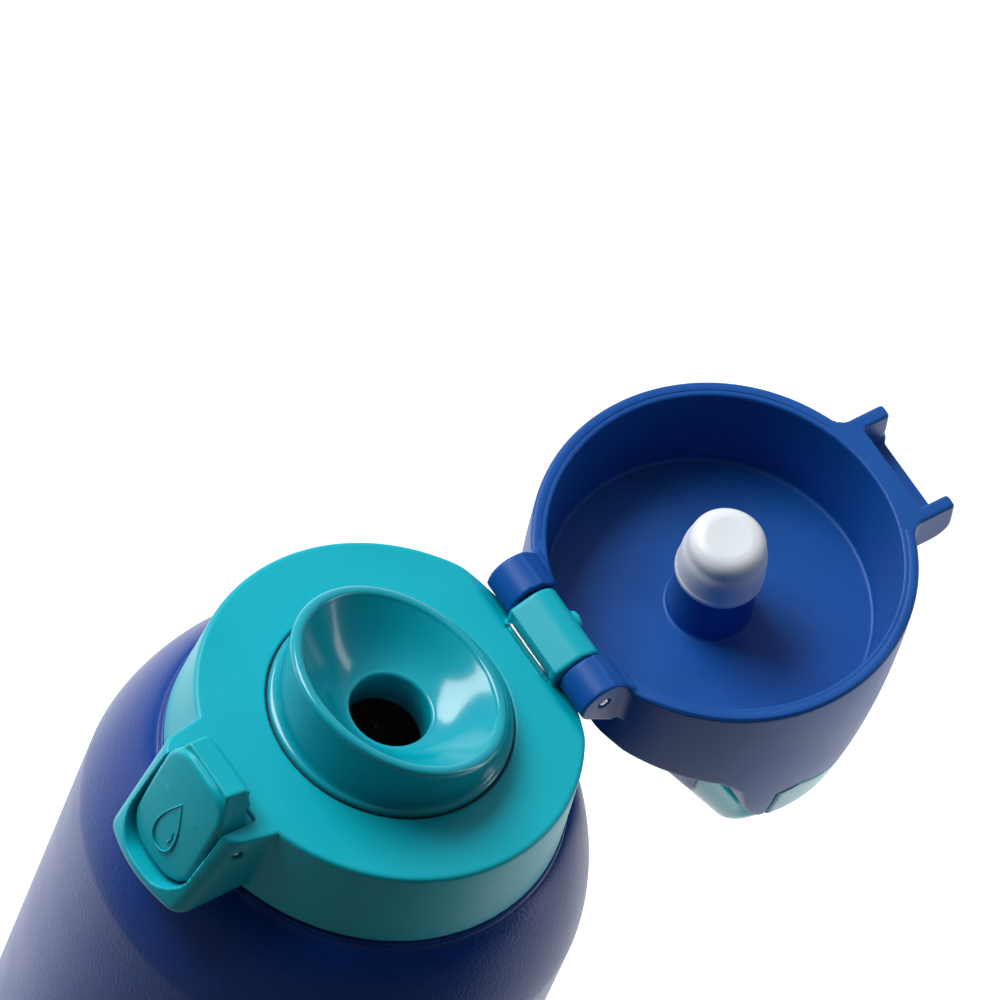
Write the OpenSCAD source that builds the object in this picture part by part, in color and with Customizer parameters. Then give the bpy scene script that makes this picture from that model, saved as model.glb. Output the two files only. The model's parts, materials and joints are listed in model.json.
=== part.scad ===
// Large insulated water jug with a screw lid, a drinking spout and a flip-up carry cap.
// Origin: centre of the underside. +Z up, +X from the push button towards the cap hinge.
// The cap is drawn closed and then swung open about the hinge, which is its rest position.

/* [Body] */
// Outer diameter of the steel body
jug_d = 120.6; // [112:0.1:150]
// Height of the shoulder's top edge above the table
body_h = 237.6; // [180:0.1:320]
// Height of the rounded shoulder
shoulder_h = 29; // [20:1:45]
// Roundness of the shoulder, 1 is a cone and 2 an ellipse
shoulder_n = 1.4; // [1.2:0.1:2.4]
// Thickness of each steel wall
steel_t = 0.8; // [0.5:0.1:1.2]
// Vacuum gap between the two walls
vacuum_gap = 3.2; // [2:0.1:6]
// Outer radius of the threaded neck
neck_r = 40.4; // [36:0.1:40.6]
// Height of the neck above the shoulder's top edge
neck_h = 12.6; // [11:0.1:13]
// Thickness of the silicone foot
pad_t = 2.4; // [1.5:0.1:5]

/* [Lid] */
// Radius of the collar at its top edge
lid_r = 46; // [45:0.1:50]
// Radius of the collar at its bottom edge
lid_skirt_r = 47.8; // [46:0.1:52]
// Height of the collar
lid_h = 23.7; // [22:0.1:30]
// Gap between the collar and the shoulder's top edge
lid_gap = 0.7; // [0.4:0.1:2]
// Wall thickness of the collar
lid_t = 2.2; // [1.6:0.1:2.6]
// Rise of the thread in one turn
thread_pitch = 6; // [5:0.5:7]
// How far the thread ridges stand proud
thread_h = 1.1; // [0.6:0.1:1.2]

/* [Spout] */
// Radius of the spout's foot where it enters the collar
spout_r = 28.9; // [26:0.1:30]
// Radius over the spout's lip
spout_lip_r = 27.6; // [24:0.1:28]
// Width of the lip
spout_lip_w = 3.3; // [2:0.1:4]
// Height of the lip's centre above the collar
spout_h = 13.9; // [10:0.1:14]
// Slope of the lip, lower on the hinge side
spout_tilt = 14.8; // [0:0.1:16]
// Radius of the drinking hole
hole_r = 9.6; // [7:0.1:11]

/* [Hinge] */
// Distance of the hinge axis from the jug's axis
hinge_x = 46.9; // [46:0.1:49]
// Height of the hinge axis above the collar's top
hinge_up = 1.1; // [0.5:0.1:3]
// Radius of the hinge pin
hinge_pin_r = 1.3; // [1:0.1:1.6]
// Radius of the collar's middle knuckle
knuckle_r = 5.6; // [4.5:0.1:5.8]
// Radius of the cap's two outer knuckles
cap_knuckle_r = 6.1; // [5:0.1:6.2]
// Width of the middle knuckle
knuckle_w = 19.8; // [16:0.1:22]
// Width over both outer knuckles
hinge_w = 40.6; // [36:0.1:46]
// How far the cap stands open
open_deg = 173; // [90:1:176]

/* [Latch] */
// Distance of the latch pin from the jug's axis
latch_x = 51.4; // [51:0.1:53]
// Depth of the latch pin below the collar's top
latch_down = 5.8; // [5:0.1:8]
// Radius of the latch pin
latch_pin_r = 1; // [0.8:0.1:1.4]
// Width of the push button
button_w = 21.5; // [16:0.1:22]
// Height of the push button
button_h = 32; // [26:0.1:33]
// Lean of the push button, its top towards the spout
button_lean = 9; // [4:0.5:12]
// Width of the hook
hook_w = 16; // [12:0.1:18]

/* [Cap] */
// Outer radius of the cap at its rim
cap_r = 45.4; // [44.8:0.1:46]
// Wall thickness of the cap at its rim
cap_t = 3.7; // [2.4:0.1:4]
// Depth of the cap's inside
cap_depth = 24.4; // [24:0.1:30]
// Height of the cap's low rear deck
deck_h = 32; // [31.9:0.1:34]
// Height of the cap's front
cap_front_h = 62; // [60:0.1:66]
// Height of the top of the carry handle
handle_top = 92.3; // [88:0.1:98]
// Width of the carry handle
handle_w = 55.2; // [40:0.1:56]
// Thickness of the carry handle
handle_t = 7; // [5:0.1:9]
// Radius of the stopper's tip
plug_r = 9.2; // [6:0.1:9.2]

/* [Hidden] */
$fn = 96;
eps = 0.01;

// Named clearances
run_gap = 0.05;      // pin in a turning hole, on radius
part_gap = 0.35;     // between pieces that move past each other
seat_gap = 0.05;     // between pieces that are fixed together
rim_gap = 0.3;       // closed cap above the collar

// Body
jug_r = jug_d / 2;
lip_r = lid_skirt_r + 1.7;
lip_round = 1.1;
mouth_z = body_h + neck_h;
foot_z = pad_t - 1.2;
flask_r = jug_r - steel_t - vacuum_gap;
flask_floor_z = pad_t + steel_t + 6.5;
neck_in_r = neck_r - 2 * steel_t - 1.2;
flask_round = 9;
flask_corner = [flask_r - flask_round, flask_floor_z + flask_round];
flask_top_z = body_h - vacuum_gap + 0.2;
cup_wall_h = 6;

// Lid
lid_z = body_h + lid_gap;
top_z = lid_z + lid_h;
deck_t = 2.4;
seal_t = 1.6;
seal_w = 4;
liner_r = lid_r - lid_t - seat_gap;
liner_in_r = neck_r + thread_h + 0.65;
liner_z = lid_z + 1.2;
liner_top_z = mouth_z + seal_t + 2;
thread_turns = 1.2;
thread_w = 1.8;

// Spout
spout_hole_r = spout_r + 0.55;
spout_foot_h = 1.1;
spout_wall_r = spout_lip_r - 0.4;
rim_shift = -1.33;
bowl_up = 10;
stem_z = -10.5;

// Hinge
hinge_z = top_z + hinge_up;
flat_angle = 36;
flat_x = hinge_x - (cap_knuckle_r + 0.32 - hinge_up * cos(flat_angle)) / sin(flat_angle);
tab_w = 15;
block_x = hinge_x - 7.5;
block_top = 3.1;
knuckle_gap = 0.45;
spring_wire = 0.45;
spring_r = 2.6;
spring_pocket_w = 6.4;

// Latch
latch_z = top_z - latch_down;
housing_w_in = 34.4;
housing_w_out = 29;
housing_drop = 28;
pocket_w = 2 * 11.8;
pocket_x = lid_r - 0.5;
button_t = 3.2;
button_x = latch_x + 7;
button_z = top_z - 7.3;
button_round = 7;
button_gap = 1.05;
press_room = 3.4;
hook_h = 9.6;
hook_x = 48;
hollow_drop = 0.9;
lever_drop = 5.2;
nose_x = 45.9;
nose_z = 3.5;
nose_t = 2.6;
latch_travel = 9;
lever_w = 22.6;

// Cap
rim_z = top_z + rim_gap;
cap_taper_r = 39.7;
cap_taper_h = 64;
cap_taper_n = 2.4;
floor_r = 39;
cap_floor_t = 2.4;
skin_t = 2.6;
flat_a = 41.6;
ledge_x = 47.1;
ledge_h = 3;
cheek_y = 12;
cheek_t = 3.5;
cheek_out = 55.3;
hood_h = 12.6;
roof_t = 2.3;
ear_h = 56;
seam_h = 43;
handle_r = 19.1;
handle_c = [-13.5, handle_top - handle_r];
handle_pin_r = 0.9;
handle_pin_x = 7;
handle_pin_h = 45.3;
handle_pin_y = 38.2;
handle_pin_l = 6.8;
boss_r = 9.7;
boss_h = 15.4;
spigot_r = 5;
spigot_h = 5.5;
plug_round = 3;
plug_base_r = 10.6;
plug_base = 7.6;
plug_tip = -6.2;

steel_blue = [0.07, 0.12, 0.52];
cap_blue = [0.10, 0.20, 0.60];
teal = [0.0, 0.60, 0.66];
silicone = [0.85, 0.87, 0.92];
steel = [0.75, 0.75, 0.77];
black = [0.06, 0.06, 0.07];

function arc(c, r, a0, a1, n = 12) = [for (i = [0:n]) c + r * [cos(a0 + (a1 - a0) * i / n),
                                                              sin(a0 + (a1 - a0) * i / n)]];
// A quarter of a rounded shoulder from its top edge (r0, z0) out to (r1, z0 - h)
function shoulder(r0, r1, z0, h, n = 14) = [for (i = [0:n]) let (t = 90 * i / n)
    [r0 + (r1 - r0) * pow(sin(t), 2 / shoulder_n), z0 - h * (1 - pow(cos(t), 2 / shoulder_n))]];
function turned(v) = [for (i = [len(v) - 1:-1:0]) v[i]];
function unit(v) = v / norm(v);

// A round wire swept along a path of points
module wire(path, r, sides = 8) {
    n = len(path);
    way = [for (i = [0:n - 1]) unit(path[min(i + 1, n - 1)] - path[max(i - 1, 0)])];
    side = [for (i = 0, u = unit(cross(way[0], [0.31, 0.22, 0.93])); i < n;
            i = i + 1, u = i < n ? unit(u - (u * way[i]) * way[i]) : u) u];
    rings = [for (i = [0:n - 1], k = [0:sides - 1]) let (a = 360 * k / sides)
             path[i] + r * (cos(a) * side[i] + sin(a) * cross(way[i], side[i]))];
    walls = [for (i = [0:n - 2], k = [0:sides - 1]) let (j = (k + 1) % sides)
             [i * sides + k, (i + 1) * sides + k, (i + 1) * sides + j, i * sides + j]];
    ends = [[for (k = [0:sides - 1]) k], [for (k = [sides - 1:-1:0]) (n - 1) * sides + k]];
    polyhedron(rings, concat(walls, ends), convexity = 8);
}

// One thread ridge round the Z axis; it stands out from radius r by h (inwards if h is negative)
module ridge(r, h, z, turns = thread_turns, start = 0) {
    steps = round(turns * 40);
    root = -0.35 * sign(h);
    profile = [[root, -thread_w / 2], [h, -thread_w / 4], [h, thread_w / 4], [root, thread_w / 2]];
    pts = [for (i = [0:steps], p = profile) let (a = start + turns * 360 * i / steps,
           run = min(1, min(i, steps - i) / 5), q = root + (p[0] - root) * max(run, 0.05))
           [(r + q) * cos(a), (r + q) * sin(a), z + thread_pitch * turns * i / steps + p[1]]];
    walls = [for (i = [0:steps - 1], k = [0:3]) let (j = (k + 1) % 4)
             [i * 4 + k, i * 4 + j, (i + 1) * 4 + j, (i + 1) * 4 + k]];
    ends = [[3, 2, 1, 0], [steps * 4, steps * 4 + 1, steps * 4 + 2, steps * 4 + 3]];
    faces = concat(walls, ends);
    polyhedron(pts, h > 0 ? faces : [for (f = faces) turned(f)], convexity = 8);
}

// ---------- body ----------

module outer_shell() color(steel_blue) rotate_extrude() polygon(concat(
    [[jug_r - steel_t, foot_z], [jug_r - 0.3, foot_z], [jug_r, foot_z + 0.5]],
    turned(shoulder(lip_r - lip_round, jug_r, body_h - lip_round, shoulder_h)),
    arc([lip_r - lip_round - 1, body_h - lip_round], lip_round, 0, 90, 4),
    [[neck_r, body_h], [neck_r, mouth_z - steel_t], [neck_r - steel_t, mouth_z - steel_t],
     [neck_r - steel_t, body_h - steel_t]],
    shoulder(lip_r - lip_round - steel_t - 0.4, jug_r - steel_t, body_h - lip_round - steel_t, shoulder_h)));

module inner_flask() color(steel) rotate_extrude() polygon(concat(
    [[0, flask_floor_z], [flask_r - flask_round, flask_floor_z]],
    arc(flask_corner, flask_round, -90, 0, 8),
    turned(shoulder(neck_in_r, flask_r, flask_top_z, shoulder_h)),
    [[neck_in_r, mouth_z - steel_t], [neck_r, mouth_z - steel_t], [neck_r, mouth_z],
     [neck_in_r - steel_t, mouth_z]],
    shoulder(neck_in_r - steel_t, flask_r - steel_t, flask_top_z - steel_t, shoulder_h),
    turned(arc(flask_corner, flask_round - steel_t, -90, 0, 8)),
    [[0, flask_floor_z + steel_t]]));

module base_cup() color(steel) rotate_extrude() polygon([
    [0, pad_t], [jug_r - steel_t - seat_gap, pad_t], [jug_r - steel_t - seat_gap, pad_t + cup_wall_h],
    [jug_r - 2 * steel_t - seat_gap, pad_t + cup_wall_h], [jug_r - 2 * steel_t - seat_gap, pad_t + steel_t],
    [0, pad_t + steel_t]]);

module getter_capsule() color(steel) translate([0, 0, pad_t + steel_t]) {
    cylinder(r = 7, h = 1.4);
    translate([0, 0, 1.4]) cylinder(r1 = 6, r2 = 4.6, h = 1.2);
}

module foot_pad() color(black) difference() {
    rotate_extrude() polygon(concat([[0, 0], [jug_r - 4.4, 0]],
        arc([jug_r - 4.4, 1.2], 1.2, -90, 0, 5), [[jug_r - 3.2, pad_t], [0, pad_t]]));
    for (r = [20:12:44])
        translate([0, 0, -eps]) rotate_extrude() translate([r, 0]) square([3, 0.6]);
}

// The steel neck carries a rolled thread; the ridge is its own raised part of the outer shell
module shell_thread() ridge(neck_r, thread_h, body_h + 2.2);

module neck_seal() color(silicone) translate([0, 0, mouth_z]) rotate_extrude()
    polygon([[neck_r - seal_w, 0], [neck_r - 0.3, 0], [neck_r - 0.3, seal_t], [neck_r - seal_w, seal_t]]);

// ---------- lid ----------

module collar_wall() rotate_extrude() polygon([
    [spout_hole_r, top_z - deck_t], [spout_hole_r, top_z - 0.3], [spout_hole_r + 0.3, top_z],
    [lid_r - 0.7, top_z], [lid_r, top_z - 0.7], [lid_skirt_r, lid_z], [lid_skirt_r - lid_t, lid_z],
    [lid_r - lid_t, lid_z + 6], [lid_r - lid_t, top_z - deck_t]]);

module hinge_profile() {
    translate([hinge_x, hinge_up]) circle(r = knuckle_r);
    polygon([[block_x, -9], [block_x, block_top],
             [hinge_x - knuckle_r * 0.5, hinge_up + knuckle_r * 0.866], [hinge_x, hinge_up],
             [hinge_x + knuckle_r * 0.819, hinge_up - knuckle_r * 0.574],
             [lid_r + 0.4, -9]]);
}

// Everything outside the sloped flat that lets the cap's knuckles pass
module hinge_flat(y0, y1)
    translate([flat_x, y0, top_z]) rotate([0, flat_angle, 0])
        cube([30, y1 - y0, 20]);

module latch_housing() intersection() {
    translate([0, 0, top_z - housing_drop - 4]) linear_extrude(height = housing_drop + 4) polygon([
        [-lid_r + 6, housing_w_in / 2], [-lid_r + 3, housing_w_in / 2], [-70, housing_w_out / 2 - 4],
        [-70, -housing_w_out / 2 + 4], [-lid_r + 3, -housing_w_in / 2], [-lid_r + 6, -housing_w_in / 2]]);
    translate([-31, 0, top_z - housing_drop - 4])
        cylinder(r1 = 35.2, r2 = 26.6, h = housing_drop + 4);
    // The underside slopes down towards the button
    translate([0, 50, 0]) rotate([90, 0, 0]) linear_extrude(height = 100) polygon([
        [-40, top_z], [-40, top_z - 18], [-47.5, top_z - 22.4], [-58.5, top_z - housing_drop],
        [-64, top_z - housing_drop + 1], [-70, top_z - 20], [-70, top_z]]);
}

// Rounded rectangle of the push button, with its length along X
module button_outline(extra = 0) {
    w = button_w / 2 + extra;
    h = button_h / 2 + extra;
    square([2 * (h - button_round), 2 * w], center = true);
    square([2 * h, 2 * (w - button_round)], center = true);
    for (sx = [-1, 1], sy = [-1, 1])
        translate([sx * (h - button_round), sy * (w - button_round)])
            circle(r = button_round);
}

module on_button() translate([-button_x, 0, button_z]) rotate([0, button_lean - 90, 0]) children();

module lid_collar() color(teal) difference() {
    union() {
        collar_wall();
        // Solid root under the hinge
        intersection() {
            translate([0, 0, top_z - 7.6]) cylinder(r = lid_r - lid_t + eps, h = 7.6 - eps);
            translate([lid_r - 13, -24, top_z - 9]) cube([20, 48, 9.5]);
        }
        difference() {
            translate([0, knuckle_w / 2, top_z]) rotate([90, 0, 0])
                linear_extrude(height = knuckle_w) hinge_profile();
            translate([0, 0, lid_z - 1]) cylinder(r = lid_r - lid_t, h = lid_h - 7);
        }
        difference() {
            latch_housing();
            translate([0, 0, lid_z - 8]) cylinder(r = lid_r - lid_t, h = lid_h + 8 - deck_t);
        }
    }
    for (s = [-1, 1])
        hinge_flat(s > 0 ? tab_w / 2 : -40, s > 0 ? 40 : -tab_w / 2);
    // Cut for the spring's leg between the tab and the block
    translate([block_x - 1.5, -tab_w / 2 - 0.6, top_z - 1.2]) cube([1.5, tab_w + 1.2, 3]);
    translate([hinge_x, 0, hinge_z]) rotate([90, 0, 0])
        cylinder(r = hinge_pin_r + seat_gap, h = 2 * knuckle_w, center = true);
    // Spring pocket at one end of the block, open outwards
    translate([hinge_x, -knuckle_w / 2 + spring_pocket_w, hinge_z]) rotate([90, 0, 0])
        cylinder(r = spring_r + spring_wire + 0.4, h = spring_pocket_w + 1);
    // Pocket for the latch lever
    translate([-button_x - 2.6, -pocket_w / 2, top_z - 23]) cube([button_x + 2.6 - pocket_x, pocket_w, 30]);
    on_button() translate([0, 0, -button_t - press_room])
        linear_extrude(height = 30) button_outline(button_gap);
    translate([-latch_x, 0, latch_z]) rotate([90, 0, 0])
        cylinder(r = latch_pin_r + seat_gap, h = 60, center = true);
}

module lid_liner() color(silicone) {
    rotate_extrude() polygon([
        [spout_r - 5, liner_top_z - 2], [liner_in_r, liner_top_z - 2], [liner_in_r, liner_z],
        [liner_r, liner_z], [liner_r, liner_top_z], [spout_r - 5, liner_top_z]]);
    liner_thread();
}

module liner_thread() ridge(liner_in_r, -thread_h, body_h + 2.2 + thread_pitch / 2, thread_turns * 0.9);

// A ball's bowl meets the sloped lip in a true circle and reaches the drinking hole's edge
module spout_bowl() {
    translate([rim_shift, 0, spout_h]) rotate([0, spout_tilt, 0]) translate([0, 0, bowl_up])
        sphere(r = sqrt(pow(bowl_up, 2) + pow(spout_lip_r - spout_lip_w, 2)));
}

module spout() color(teal) translate([0, 0, top_z]) difference() {
    union() {
        intersection() {
            union() {
                cylinder(r = spout_r, h = spout_foot_h);
                cylinder(r = spout_wall_r, h = 2 * spout_h);
            }
            translate([rim_shift, 0, spout_h]) rotate([0, spout_tilt, 0])
                translate([0, 0, -60]) cylinder(r = 80, h = 60);
        }
        translate([0, 0, -deck_t - 1]) cylinder(r = spout_r, h = deck_t + 1 + eps);
        translate([0, 0, -deck_t - 1.7]) cylinder(r = spout_hole_r + 1.2, h = 1.6);
        translate([0, 0, stem_z]) cylinder(r = hole_r + 2, h = -stem_z);
    }
    spout_bowl();
    translate([0, 0, stem_z - 1]) cylinder(r = hole_r, h = 30 - stem_z);
}

module spout_seal() color(black) translate([0, 0, top_z - 1.5]) rotate_extrude()
    polygon([[spout_r + seat_gap, 0], [spout_hole_r - seat_gap, 0], [spout_hole_r - seat_gap, 0.9],
             [spout_r + seat_gap, 0.9]]);

// ---------- hinge ----------

module hinge_pin() color(steel) translate([hinge_x, 0, hinge_z]) rotate([90, 0, 0])
    cylinder(r = hinge_pin_r, h = hinge_w - 0.4, center = true);

module hinge_spring() color(steel) {
    y0 = -knuckle_w / 2 + spring_pocket_w - spring_wire - 0.5;
    y1 = -knuckle_w / 2 + spring_wire + 0.3;
    turns = 3.25;
    steps = 14 * 3;
    coil = [for (i = [0:steps]) let (a = 180 - turns * 360 * i / steps)
            [hinge_x + (hinge_pin_r + 1.3) * cos(a), y0 + (y1 - y0) * i / steps,
             hinge_z + (hinge_pin_r + 1.3) * sin(a)]];
    wire(coil, spring_wire);
    // The straight leg that lies in the slot beside the collar's tab
    wire([for (i = [0:4]) [block_x - 0.75, -tab_w / 2 + tab_w * i / 4, top_z + 0.7]], spring_wire);
}

// ---------- latch ----------

// The hook block narrows upwards; below the pin its inner side leans away from the pocket wall
module lever_hook() hull() {
    translate([-latch_x - 3.6, -lever_w / 2, latch_z])
        cube([latch_x + 3.6 - pocket_x - part_gap, lever_w, latch_down]);
    translate([-latch_x - 3.6, -lever_w / 2, latch_z - lever_drop])
        cube([latch_x + 3.6 - pocket_x - part_gap - lever_drop * sin(latch_travel), lever_w, lever_drop]);
    translate([-latch_x - 2.2, -hook_w / 2, top_z]) cube([latch_x + 2.2 - hook_x, hook_w, hook_h]);
}

module latch_lever() color(teal) difference() {
    union() {
        difference() {
            lever_hook();
            // Hollow for the cap's ledge, under the hook's nose
            translate([-hook_x, -20, top_z - hollow_drop]) cube([10, 40, 20]);
        }
        translate([-hook_x - 0.2, -hook_w / 2, top_z + nose_z]) cube([hook_x + 0.2 - nose_x, hook_w, nose_t]);
        on_button() translate([0, 0, -button_t]) linear_extrude(height = button_t) button_outline();
        translate([-button_x + 1, -6, top_z - 12]) cube([button_x - 1 - latch_x, 12, 9]);
    }
    translate([-latch_x, 0, latch_z]) rotate([90, 0, 0])
        cylinder(r = latch_pin_r + run_gap, h = 60, center = true);
    // Slot that holds the coil spring round the pin
    translate([-latch_x - 3, -3.2, latch_z - 10]) cube([6, 6.4, 13]);
}

module latch_pin() color(steel) translate([-latch_x, 0, latch_z]) rotate([90, 0, 0])
    cylinder(r = latch_pin_r, h = housing_w_in - 3.2, center = true);

module latch_spring() color(steel) {
    coil_r = latch_pin_r + 0.9;
    steps = 42;
    coil = [for (i = [0:steps]) let (a = -90 + 3 * 360 * i / steps)
            [-latch_x + coil_r * cos(a), -2 + 4 * i / steps, latch_z + coil_r * sin(a)]];
    wire(coil, 0.35);
}

// ---------- cap, drawn closed ----------

module swung() translate([hinge_x, 0, hinge_z]) rotate([0, open_deg, 0])
    translate([-hinge_x, 0, -hinge_z]) translate([0, 0, rim_z]) children();

// A prism across the cap from a side outline in x and height
module across(w = 120) translate([0, w / 2, 0]) rotate([90, 0, 0]) linear_extrude(height = w) children();

// The cap's side is gently barrelled up to its front edge
function taper(h) = cap_r - (cap_r - cap_taper_r) * (h < cap_taper_h ? pow(h / cap_taper_h, cap_taper_n)
                                                                    : h / cap_taper_h);

module cap_round(h0, h1, inset = 0) rotate_extrude() polygon(concat([[0, h1], [0, h0]],
    [for (i = [0:10]) let (h = h0 + (h1 - h0) * i / 10) [taper(h) - inset, h]]));

// Low rear deck, the ears at the sides and the seam of the cover, which rises to the front
deck_front = [21, deck_h];
deck_end = [38.6, deck_h - 5];
seam = [[5.2, seam_h + 0.4], [-0.8, seam_h - 0.5], [-10.9, seam_h + 5.4], [-20, seam_h + 10.2],
        [-32, seam_h + 14], [-60, seam_h + 16.6]];

module cap_side() polygon(concat([[-60, 0], [flat_a, 0], [flat_a, deck_h - 7.5], deck_end, deck_front,
    [18.6, deck_h + 2.2], [15.2, deck_h + 6.2], [13.8, 42.2], [12.1, 47.6], [8.4, ear_h - 2], [6.4, ear_h],
    [4.9, ear_h]], seam));

module knuckle(y0, y1) translate([hinge_x, y1, hinge_z - rim_z]) rotate([90, 0, 0])
    cylinder(r = cap_knuckle_r, h = y1 - y0);

// Catch hood: straight ledge, two cheeks and the roof between them, round at its outer edge
module catch_hood() {
    side = [[-40, 0], [-cheek_out + 0.7, 0], [-cheek_out, hood_h - 4], [-cheek_out + 0.8, hood_h - 1.5],
            [-cheek_out + 2.8, hood_h], [-40, hood_h]];
    for (s = [-1, 1]) translate([0, s * (cheek_y + cheek_t / 2), 0]) across(cheek_t) polygon(side);
    intersection() {
        across(2 * cheek_y + 2) polygon(side);
        translate([-60, -cheek_y - 1, hood_h - roof_t]) cube([20, 2 * cheek_y + 2, roof_t]);
    }
    translate([-ledge_x, -cheek_y - 1, 0]) cube([6, 2 * cheek_y + 2, ledge_h]);
}

// Hollow upper chamber between the cap's floor and the cover
module chamber() intersection() {
    cap_round(cap_depth + cap_floor_t, 70, skin_t);
    across() polygon([[-60, 0], [16, 0], [16, deck_h - 0.4], [12.6, 37], [11.2, 42], [9.4, 47],
        [5.6, ear_h - 3.4], [2.6, ear_h - 1.4], [-2.7, ear_h - 0.8], [-16, cap_front_h - 4.4],
        [-30, cap_front_h - 2.6], [-60, cap_front_h - 2.2]]);
}

module cap_shell() color(cap_blue) swung() difference() {
    union() {
        intersection() {
            cap_round(0, 66);
            across() cap_side();
        }
        // Knuckles and the webs that tie them to the wall
        for (s = [-1, 1]) {
            y0 = knuckle_w / 2 + knuckle_gap;
            y1 = hinge_w / 2;
            knuckle(s > 0 ? y0 : -y1, s > 0 ? y1 : -y0);
            intersection() {
                translate([0, s > 0 ? y1 : -y0, 0]) rotate([90, 0, 0]) linear_extrude(height = y1 - y0)
                    polygon([[38.6, 0], [hinge_x - 2, hinge_up - 6.1], [hinge_x + 6.05, hinge_up + 0.6],
                             [hinge_x + 4.4, 4.9], [43.2, 12], [38.6, 12]]);
                translate([0, 0, -6]) cylinder(r = 60, h = 30);
            }
        }
        catch_hood();
    }
    chamber();
    // Inside of the cap
    translate([0, 0, -eps]) cylinder(r1 = cap_r - cap_t, r2 = floor_r, h = cap_depth);
    // Notch that lets the collar's middle knuckle through the rim
    translate([block_x - part_gap - 0.3, -knuckle_w / 2 - knuckle_gap, -12])
        cube([20, knuckle_w + 2 * knuckle_gap, 12 + knuckle_r + hinge_up + 0.6]);
    translate([hinge_x, 0, hinge_z - rim_z]) rotate([90, 0, 0])
        cylinder(r = hinge_pin_r + run_gap, h = 60, center = true);
    handle_pin_holes();
}

// The blue boss and spigot that carry the stopper
module boss() {
    translate([0, 0, cap_depth - boss_h]) cylinder(r1 = boss_r - 0.4, r2 = boss_r + 0.3, h = boss_h + eps);
    translate([0, 0, cap_depth - boss_h - spigot_h]) cylinder(r = spigot_r, h = spigot_h + eps);
}

module cap_shell_all() {
    cap_shell();
    color(cap_blue) swung() boss();
}

// Angles at which the rear leg and the front foot meet the arch
leg_angle = 27;
front_angle = 150;
hole_c = handle_c + [0.6, 0];
hole_arc_r = handle_r - handle_t;
leg_foot = [33.4, deck_h - 3.5];
leg_foot_in = [21.5, deck_h];
function on_arch(a) = handle_c + handle_r * [cos(a), sin(a)];
function on_hole(a) = hole_c + hole_arc_r * [cos(a), sin(a)];
// The point of the line from p to q at height h
function at_height(p, q, h) = p + (q - p) * (h - p[1]) / (q[1] - p[1]);
// The leg's joint slants from its outer edge down to its inner edge
leg_out = at_height(leg_foot, on_arch(leg_angle), handle_top - 32.3);
leg_in = at_height(leg_foot_in, on_hole(leg_angle), deck_h + 9);

module inside_cap() cap_round(0, handle_top + 2);

// Teal top shell: the panel over the front of the cap and the arch of the handle
module cover_outside() {
    intersection() {
        inside_cap();
        across(110) polygon(concat([[4.6, ear_h + 1]], [[4.6, seam_h + 0.4 + seat_gap]],
            [for (i = [1:5]) seam[i] + [0, seat_gap]],
            [[-60, cap_front_h + 0.4], [-30, cap_front_h], [-16, cap_front_h - 1.8],
             [-2.7, ear_h + 1.8]]));
    }
    intersection() {
        inside_cap();
        across(handle_w) polygon(concat([leg_out], arc(handle_c, handle_r, leg_angle, front_angle, 20),
            [[-41, cap_front_h + 0.2], [-41, cap_front_h - 1.6], [-24, cap_front_h - 2]],
            arc(hole_c, hole_arc_r, 215, leg_angle, 16), [leg_in]));
    }
}

// Lugs behind the cap's ears, each held by a short pin
module cover_lugs() for (s = [-1, 1]) {
    translate([2.9, s * 36, handle_pin_h - 0.3]) cube([12, 3.6, 4.4], center = true);
    translate([0.6, s * 38.4, handle_pin_h + 0.6]) cube([7.4, 4.4, 2.6], center = true);
}

module cap_cover() color(teal) swung() difference() {
    union() {
        difference() {
            cover_outside();
            chamber();
        }
        cover_lugs();
    }
    handle_pin_holes();
}

// Blue rear leg of the carry handle
module handle_leg() color(cap_blue) swung() intersection() {
    inside_cap();
    across(handle_w) polygon([leg_foot + [0, 3 * seat_gap], leg_out + [seat_gap, 0],
                              leg_in + [seat_gap, 0], leg_foot_in + [0, 3 * seat_gap]]);
}

// Short pins through the ears of the cap and the cover's lugs
module at_handle_pins() for (s = [-1, 1])
    translate([handle_pin_x, s * handle_pin_y, handle_pin_h]) rotate([90, 0, 0]) children();

module handle_pin_holes() at_handle_pins() cylinder(r = handle_pin_r + seat_gap, h = 14, center = true);

module handle_pins() color(steel) swung() at_handle_pins()
    cylinder(r = handle_pin_r, h = handle_pin_l, center = true);

module stopper() color(silicone) swung() difference() {
    rotate_extrude() polygon(concat([[0, plug_tip]],
        arc([plug_r - plug_round, plug_tip + plug_round], plug_round, -90, 0, 8),
        [[plug_r + 0.1, -1.4], [plug_base_r - 0.4, 1.4], [plug_base_r - 0.2, plug_base - 0.3],
         [plug_base_r, plug_base],
         [plug_base_r, cap_depth - boss_h - seat_gap], [0, cap_depth - boss_h - seat_gap]]));
    translate([0, 0, cap_depth - boss_h - spigot_h - seat_gap]) cylinder(r = spigot_r + seat_gap, h = 40);
}

union() { outer_shell(); color(steel_blue) shell_thread(); }
inner_flask();
base_cup();
getter_capsule();
foot_pad();
neck_seal();
lid_collar();
lid_liner();
spout();
spout_seal();
hinge_pin();
hinge_spring();
latch_lever();
latch_pin();
latch_spring();
cap_shell_all();  // cap_shell
cap_cover();
handle_leg();
handle_pins();
stopper();
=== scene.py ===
import json
import math
import bpy
import numpy as np
from mathutils import Matrix, Vector


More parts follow.
